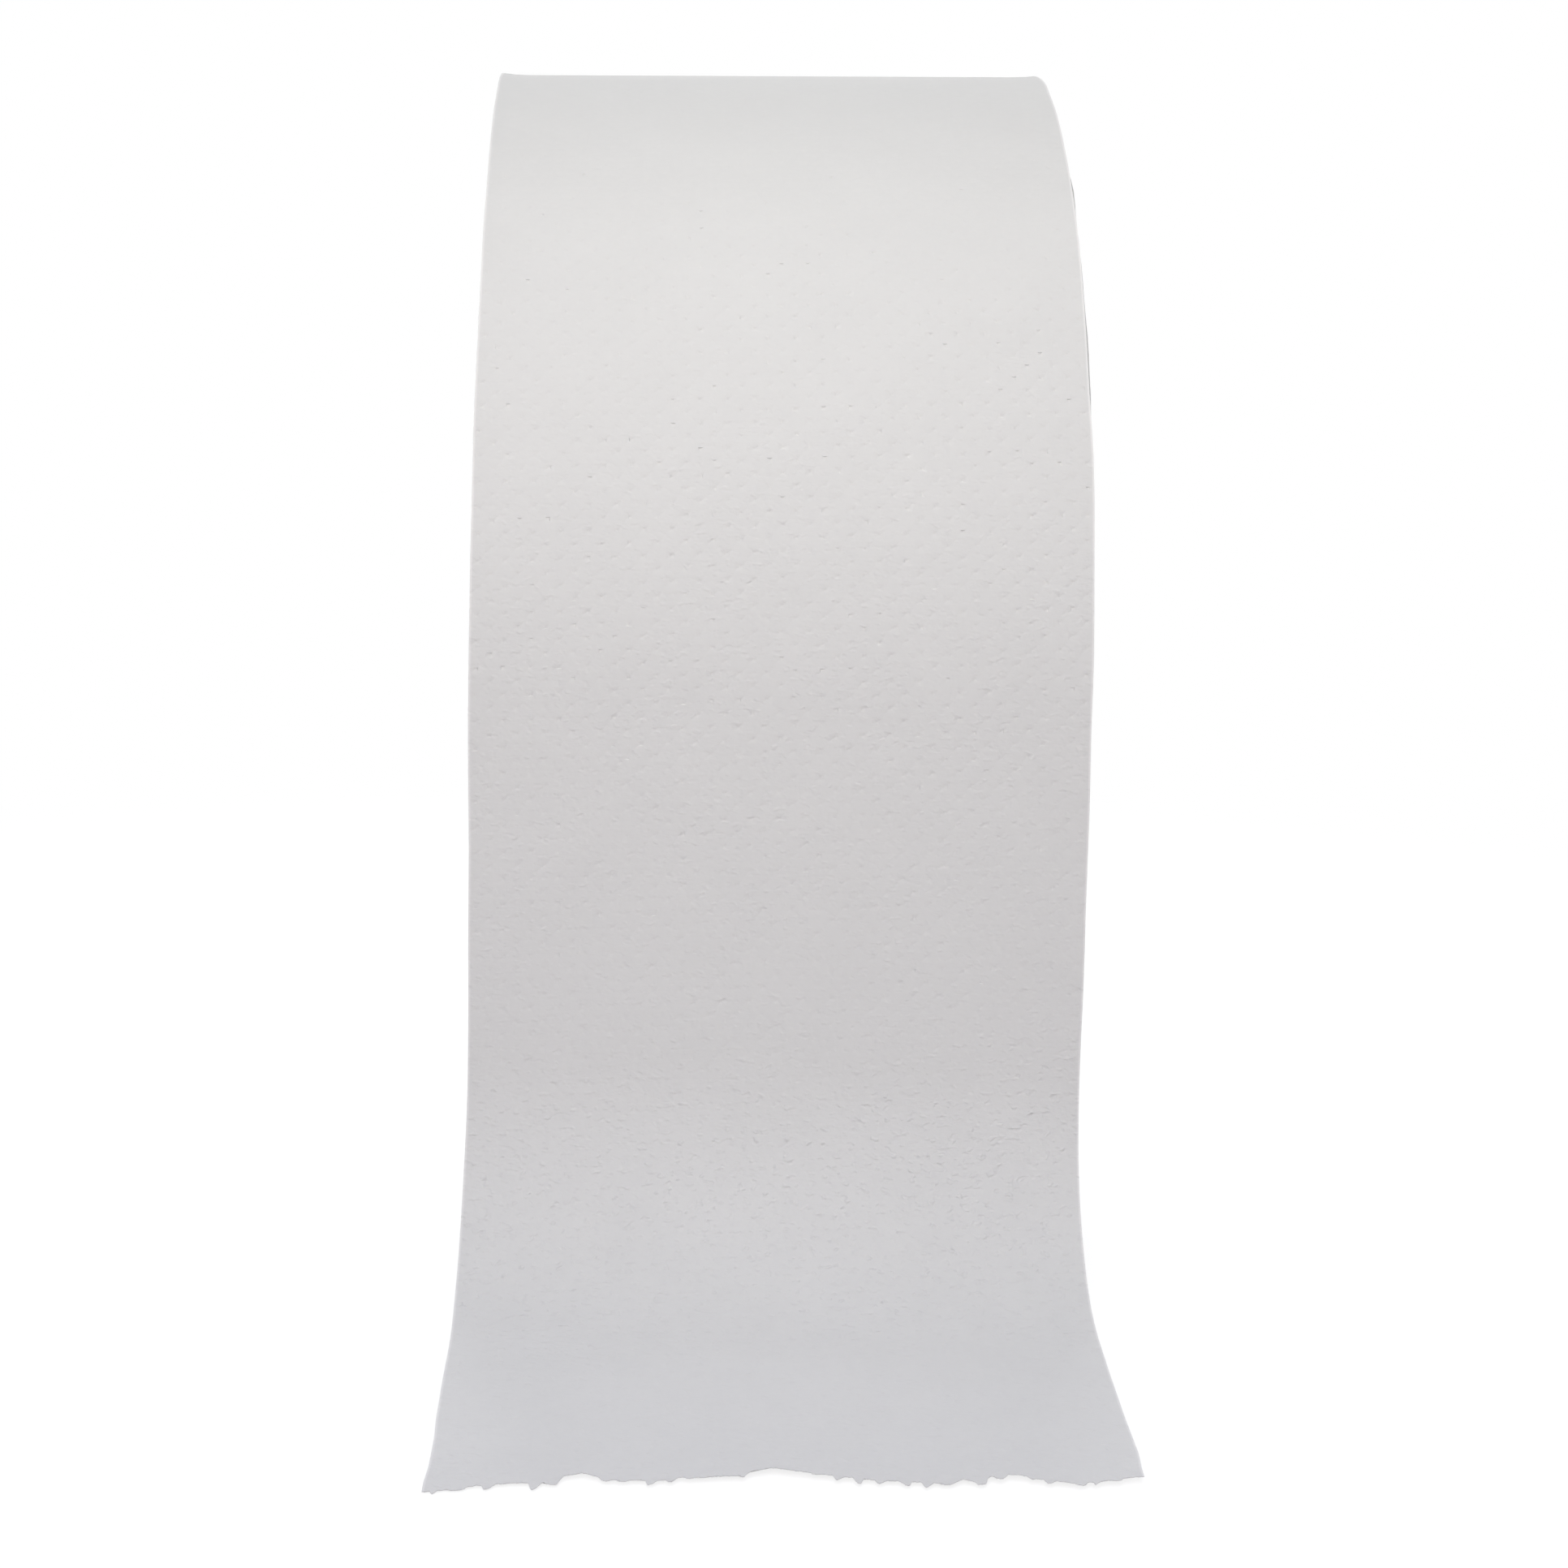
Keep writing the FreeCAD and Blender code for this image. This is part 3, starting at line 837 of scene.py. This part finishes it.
def tissue_finish():
    """Soft white tissue: crepe, fibres, faint clouds, and paler fluff with a painted highlight on
    its cut edges.

    It is crumpled a little where it was handled: more down the front, and most in the bend.
    """
    made = bpy.data.materials.get("embossed_tissue")
    if made:
        return made
    look = bpy.context.scene.roll_look
    material, tree, shader = new_material("embossed_tissue", 0.95)
    shader.inputs["Sheen Weight"].default_value = 0.12
    shader.inputs["Sheen Roughness"].default_value = 0.6
    paper = add_node(tree, "ShaderNodeUVMap", uv_map="sheet").outputs["UV"]
    crepe = mapped_noise(tree, paper, (1.8 * MM, 0.6 * MM, 1), 3.0)
    fibre = mapped_noise(tree, paper, (1.1 * MM, 0.8 * MM, 1), 3.0)
    bumps = spots(tree, paper, (1.5 * MM, 1.1 * MM, 1))
    pits = spots(tree, paper, (1.7 * MM, 1.2 * MM, 1))
    cloud = mapped_noise(tree, paper, (16 * MM, 12 * MM, 1), 2.0)
    height = added(tree, scaled(tree, crepe, 0.55), scaled(tree, fibre, 0.65))
    free = along_sheet(tree, paper, -110 * MM, 10 * MM)
    bent = scaled(tree, along_sheet(tree, paper, 92 * MM, 118 * MM), -1.0)
    bent = added(tree, bent, along_sheet(tree, paper, 48 * MM, 70 * MM))
    rough = added(tree, scaled(tree, free, 0.15, 0.65), scaled(tree, bent, 0.5))
    relief = multiplied(tree, height, rough)
    crumple = added(tree, scaled(tree, free, 0.36, 0.06), scaled(tree, bent, 0.42))
    handled = added(tree, bumps, scaled(tree, pits, -1.0))
    relief = added(tree, relief, multiplied(tree, handled, crumple))
    bumped(tree, shader, relief, 1.0, 0.12 * MM)
    dark = [0.955 * part for part in look.tissue]
    light = [1.13 * part for part in look.tissue]
    share = added(tree, scaled(tree, cloud, 0.23), scaled(tree, height, 0.19, -0.06))
    # paler fluff and a painted highlight of the lit cut edge, along both cut edges
    share = added(tree, share, scaled(tree, cut_edge_fluff_and_highlight(tree, paper), 0.8))
    tree.links.new(blended(tree, share, dark, light), shader.inputs["Base Color"])
    return material


def turn_edge_finish():
    """The cut edges of the turns: fine uneven rings, with painted shade just under the outer
    sheet.
    """
    look = bpy.context.scene.roll_look
    material, tree, shader = new_material("turn_edges", 0.95)
    place = add_node(tree, "ShaderNodeTexCoord").outputs["Object"]
    parts = add_node(tree, "ShaderNodeSeparateXYZ")
    tree.links.new(place, parts.inputs[0])
    flat = add_node(tree, "ShaderNodeCombineXYZ")
    tree.links.new(parts.outputs["Y"], flat.inputs["X"])
    tree.links.new(parts.outputs["Z"], flat.inputs["Y"])
    radius = add_node(tree, "ShaderNodeVectorMath", operation="LENGTH")
    tree.links.new(flat.outputs[0], radius.inputs[0])
    outward = add_node(tree, "ShaderNodeVectorMath", operation="NORMALIZE")
    tree.links.new(flat.outputs[0], outward.inputs[0])
    around = add_node(tree, "ShaderNodeSeparateXYZ")
    tree.links.new(outward.outputs[0], around.inputs[0])
    ring = add_node(tree, "ShaderNodeCombineXYZ")
    tree.links.new(scaled(tree, radius.outputs["Value"], 1 / (0.32 * MM)), ring.inputs["X"])
    tree.links.new(scaled(tree, around.outputs["X"], 2.2), ring.inputs["Y"])
    tree.links.new(scaled(tree, around.outputs["Y"], 2.2), ring.inputs["Z"])
    lines = add_node(tree, "ShaderNodeTexNoise", Scale=1.0, Detail=2.0)
    tree.links.new(ring.outputs[0], lines.inputs["Vector"])
    wide_ring = add_node(tree, "ShaderNodeVectorMath", operation="MULTIPLY")
    wide_ring.inputs[1].default_value = (0.11, 0.4, 0.4)
    bands = add_node(tree, "ShaderNodeTexNoise", Scale=1.0, Detail=2.0)
    tree.links.new(ring.outputs[0], wide_ring.inputs[0])
    tree.links.new(wide_ring.outputs[0], bands.inputs["Vector"])
    fluff = mapped_noise(tree, place, (0.5 * MM, 0.5 * MM, 0.5 * MM), 3.0)
    height = added(tree, lines.outputs["Fac"], scaled(tree, fluff, 0.4))
    bumped(tree, shader, height, 0.8, 0.15 * MM)
    rim = ROLL_HIGH.z
    # painted shade: the rim just under the outer sheet darkens towards half the tissue colour
    painted_gap_shade = risen(tree, radius.outputs["Value"], rim - 1.0 * MM, rim - 0.6 * MM)
    dark = [0.74 * part for part in look.tissue]
    light = [min(1.0, 1.03 * part) for part in look.tissue]
    share = added(tree, scaled(tree, height, 1.7, -0.95), bands.outputs["Fac"])
    shade = add_node(tree, "ShaderNodeMix", data_type="RGBA")
    shade.inputs[7].default_value = (*[0.5 * part for part in look.tissue], 1)
    tree.links.new(painted_gap_shade, shade.inputs[0])
    tree.links.new(blended(tree, share, dark, light), shade.inputs[6])
    tree.links.new(shade.outputs[2], shader.inputs["Base Color"])
    return material


def cardboard_finish():
    """Grey-brown recycled board: fibres, specks and a soft crosswise grain."""
    look = bpy.context.scene.roll_look
    material, tree, shader = new_material("core_cardboard", 0.85)
    place = add_node(tree, "ShaderNodeTexCoord").outputs["Object"]
    grain = mapped_noise(tree, place, (2.6 * MM, 0.7 * MM, 0.7 * MM), 4.0)
    specks = mapped_noise(tree, place, (0.5 * MM, 0.5 * MM, 0.5 * MM), 2.0)
    cloud = mapped_noise(tree, place, (14 * MM, 14 * MM, 14 * MM), 2.0)
    height = added(tree, scaled(tree, grain, 0.7), scaled(tree, specks, 0.4))
    bumped(tree, shader, height, 0.5, 0.08 * MM)
    dark = [0.72 * part for part in look.cardboard]
    light = [1.18 * part for part in look.cardboard]
    share = added(tree, scaled(tree, height, 0.7, -0.1), scaled(tree, cloud, 0.4))
    tree.links.new(blended(tree, share, dark, light), shader.inputs["Base Color"])
    return material


# ---------------------------------------------------------------- stage


def floor_finish():
    """Pale floor: near the roll it keeps a faint shadow, and further off it is plain white."""
    material = bpy.data.materials.new("pale_floor")
    material.use_nodes = True
    tree = material.node_tree
    tree.nodes.clear()
    matt = add_node(tree, "ShaderNodeBsdfDiffuse", Color=(0.70, 0.67, 0.68, 1))
    shown = add_node(tree, "ShaderNodeBsdfDiffuse", Color=(0.3, 0.3, 0.3, 1))
    glow = add_node(tree, "ShaderNodeEmission", Color=(1, 1, 1, 1), Strength=0.82)
    white = add_node(tree, "ShaderNodeEmission", Color=(1, 1, 1, 1), Strength=1.0)
    bright = add_node(tree, "ShaderNodeAddShader")
    place = add_node(tree, "ShaderNodeTexCoord")
    away = add_node(tree, "ShaderNodeVectorMath", operation="LENGTH")
    ray = add_node(tree, "ShaderNodeLightPath")
    either = add_node(tree, "ShaderNodeMath", operation="MAXIMUM")
    seen = add_node(tree, "ShaderNodeMixShader")
    mix = add_node(tree, "ShaderNodeMixShader")
    out = add_node(tree, "ShaderNodeOutputMaterial")
    tree.links.new(place.outputs["Object"], away.inputs[0])
    tree.links.new(shown.outputs[0], bright.inputs[0])
    tree.links.new(glow.outputs[0], bright.inputs[1])
    tree.links.new(risen(tree, away.outputs["Value"], 0.20, 0.45), seen.inputs[0])
    tree.links.new(bright.outputs[0], seen.inputs[1])
    tree.links.new(white.outputs[0], seen.inputs[2])
    tree.links.new(ray.outputs["Is Camera Ray"], either.inputs[0])
    tree.links.new(ray.outputs["Is Glossy Ray"], either.inputs[1])
    tree.links.new(either.outputs[0], mix.inputs[0])
    tree.links.new(matt.outputs[0], mix.inputs[1])
    tree.links.new(seen.outputs[0], mix.inputs[2])
    tree.links.new(mix.outputs[0], out.inputs["Surface"])
    return material


def add_floor():
    """A wide floor under the roll."""
    bpy.ops.object.select_all(action="DESELECT")
    bpy.ops.mesh.primitive_plane_add(size=60, location=(0, 0, ROLL_LOW.z))
    floor = bpy.context.object
    floor.name = "pale_floor"
    bpy.ops.object.transform_apply(location=True, rotation=False, scale=False)
    floor.data.materials.append(floor_finish())


def light_world(studio):
    """White behind the roll, and even light on it from all round."""
    world = bpy.data.worlds.new("studio")
    bpy.context.scene.world = world
    world.use_nodes = True
    tree = world.node_tree
    tree.nodes.clear()
    soft = add_node(
        tree, "ShaderNodeBackground", Color=(0.945, 0.98, 1.075, 1), Strength=studio.ambient)
    white = add_node(tree, "ShaderNodeBackground", Color=(1, 1, 1, 1), Strength=1.0)
    ray = add_node(tree, "ShaderNodeLightPath")
    seen = add_node(tree, "ShaderNodeMath", operation="MAXIMUM")
    either = add_node(tree, "ShaderNodeMath", operation="MAXIMUM")
    mix = add_node(tree, "ShaderNodeMixShader")
    out = add_node(tree, "ShaderNodeOutputWorld")
    tree.links.new(ray.outputs["Is Camera Ray"], seen.inputs[0])
    tree.links.new(ray.outputs["Is Glossy Ray"], seen.inputs[1])
    tree.links.new(seen.outputs[0], either.inputs[0])
    tree.links.new(ray.outputs["Is Transmission Ray"], either.inputs[1])
    tree.links.new(either.outputs[0], mix.inputs[0])
    tree.links.new(soft.outputs[0], mix.inputs[1])
    tree.links.new(white.outputs[0], mix.inputs[2])
    tree.links.new(mix.outputs[0], out.inputs["Surface"])


def aim(obj, place, forward, roll=0.0):
    """Put obj at place, looking along forward, turned by roll about that line."""
    turn = forward.to_track_quat("-Z", "Y").to_matrix().to_4x4()
    obj.matrix_world = Matrix.Translation(place) @ turn @ Matrix.Rotation(roll, 4, "Z")


def add_softbox(name, place, target, size, power, color=(1, 1, 1), spread=180):
    """A square soft lamp that faces its target, with its spread in degrees."""
    bpy.ops.object.light_add(type="AREA")
    softbox = bpy.context.object
    softbox.name = name
    softbox.data.energy = power
    softbox.data.size = size
    softbox.data.color = color
    softbox.data.spread = math.radians(spread)
    softbox.visible_camera = False
    aim(softbox, Vector(place), Vector(target) - Vector(place))


def add_lamps(studio):
    """A key above in front, narrow ones on the upper front and the tail, and the rest round."""
    heart = (0, 0, 0.03)
    axis = (0, 0, 0)
    add_softbox(
        "softbox_key", (-0.10, -0.60, 0.33), heart, 0.4, studio.key_power, (1.0, 0.965, 1.01))
    add_softbox(
        "softbox_upper", (-0.06, -0.50, 0.33), (0, -0.07, 0.08), 0.3, studio.upper_power,
        (1.0, 0.98, 0.83), spread=40)
    add_softbox(
        "softbox_tail", (0.0, -0.30, 0.50), (0, -0.17, -0.1), 0.2, studio.tail_power,
        (0.95, 1.0, 1.1), spread=40)
    add_softbox(
        "softbox_top", (0.0, 0.15, 0.95), heart, 0.8, studio.top_power, (0.96, 1.0, 1.02))
    add_softbox(
        "softbox_back", (0.0, 1.0, 0.55), axis, 0.6, studio.back_power, (1.0, 1.015, 0.98))
    add_softbox("softbox_left", (-1.05, 0.25, -0.02), axis, 0.14, studio.side_power)
    add_softbox("softbox_right", (1.05, 0.25, -0.02), axis, 0.14, studio.side_power)


def add_camera(studio):
    """The camera in front of the roll, level with its upper half."""
    bpy.ops.object.camera_add()
    camera = bpy.context.object
    camera.name = "camera"
    camera.data.sensor_width = 36
    camera.data.lens = studio.lens
    camera.data.shift_x = 0.0766
    camera.data.shift_y = -0.0999
    camera.data.clip_start = 0.05
    camera.data.clip_end = 100
    place = Vector((-0.01775, -0.5217, 0.04745))
    fall = math.radians(5.424)
    roll = math.radians(0.801)
    aim(camera, place, Vector((0, math.cos(fall), -math.sin(fall))), roll)
    bpy.context.scene.camera = camera


# ---------------------------------------------------------------- operators


class ROLL_OT_set_stage(bpy.types.Operator):
    """Set the pale floor, the soft light and the camera"""

    bl_idname = "roll.set_stage"
    bl_label = "Set Stage"

    def execute(self, context):
        studio = context.scene.roll_studio
        context.scene.view_settings.view_transform = "Standard"
        add_floor()
        light_world(studio)
        add_lamps(studio)
        add_camera(studio)
        return {"FINISHED"}


class ROLL_OT_make_turns(bpy.types.Operator):
    """Make the turns beneath the outer one, with the stretch behind the loose end"""

    bl_idname = "roll.make_turns"
    bl_label = "Make Wound Turns"

    def execute(self, context):
        sizes = context.scene.roll_sizes
        path = SheetPath(sizes)
        ring = turn_ring(sizes)
        ridge_turns(ring, sizes, path)
        add_turn_map(ring)
        paint_turns(ring)
        under = make_sheet("under_sheet", sizes, path, path.cusp, path.seam)
        bpy.ops.object.select_all(action="DESELECT")
        under.select_set(True)
        ring.select_set(True)
        context.view_layer.objects.active = ring
        bpy.ops.object.join()
        finish_piece(ring)
        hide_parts("paper_roll")
        return {"FINISHED"}


class ROLL_OT_make_loose_sheet(bpy.types.Operator):
    """Make the outermost turn with its loose end, from under the roll to the torn edge"""

    bl_idname = "roll.make_loose_sheet"
    bl_label = "Make Loose Sheet"

    def execute(self, context):
        sizes = context.scene.roll_sizes
        path = SheetPath(sizes)
        start = path.seam
        end = path.tip + TORN_SPARE
        sheet = make_sheet("loose_sheet", sizes, path, start, end)
        finish_piece(sheet)
        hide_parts("paper_roll")
        return {"FINISHED"}


class ROLL_OT_make_core(bpy.types.Operator):
    """Make the cardboard core"""

    bl_idname = "roll.make_core"
    bl_label = "Make Cardboard Core"

    def execute(self, context):
        wall = core_wall()
        wind_core(wall, context.scene.roll_sizes)
        wall.data.materials.clear()
        wall.data.materials.append(cardboard_finish())
        finish_piece(wall)
        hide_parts("core_tube")
        return {"FINISHED"}


class ROLL_PT_panel(bpy.types.Panel):
    """Makes the roll's pieces"""

    bl_idname = "ROLL_PT_panel"
    bl_label = "Jumbo Toilet Paper Roll"
    bl_space_type = "VIEW_3D"
    bl_region_type = "UI"
    bl_category = "Roll"

    def draw(self, context):
        column = self.layout.column()
        scene = context.scene
        for settings in (scene.roll_sizes, scene.roll_look, scene.roll_studio):
            for name in settings.__annotations__:
                column.prop(settings, name)
        for step in STEPS:
            column.operator(step.bl_idname)


SETTINGS = (RollSizes, RollLook, StudioSettings)
STEPS = (ROLL_OT_set_stage, ROLL_OT_make_turns, ROLL_OT_make_loose_sheet, ROLL_OT_make_core)


def register():
    """Add the settings, the operators and the panel."""
    for kind in (*SETTINGS, *STEPS, ROLL_PT_panel):
        bpy.utils.register_class(kind)
    bpy.types.Scene.roll_sizes = bpy.props.PointerProperty(type=RollSizes)
    bpy.types.Scene.roll_look = bpy.props.PointerProperty(type=RollLook)
    bpy.types.Scene.roll_studio = bpy.props.PointerProperty(type=StudioSettings)


def unregister():
    """Take them away again."""
    del bpy.types.Scene.roll_sizes
    del bpy.types.Scene.roll_look
    del bpy.types.Scene.roll_studio
    for kind in reversed((*SETTINGS, *STEPS, ROLL_PT_panel)):
        bpy.utils.unregister_class(kind)


def main():
    """Make the whole roll on its stage."""
    register()
    bpy.ops.roll.set_stage()
    bpy.ops.roll.make_turns()
    bpy.ops.roll.make_loose_sheet()
    bpy.ops.roll.make_core()


if __name__ == "__main__":
    main()
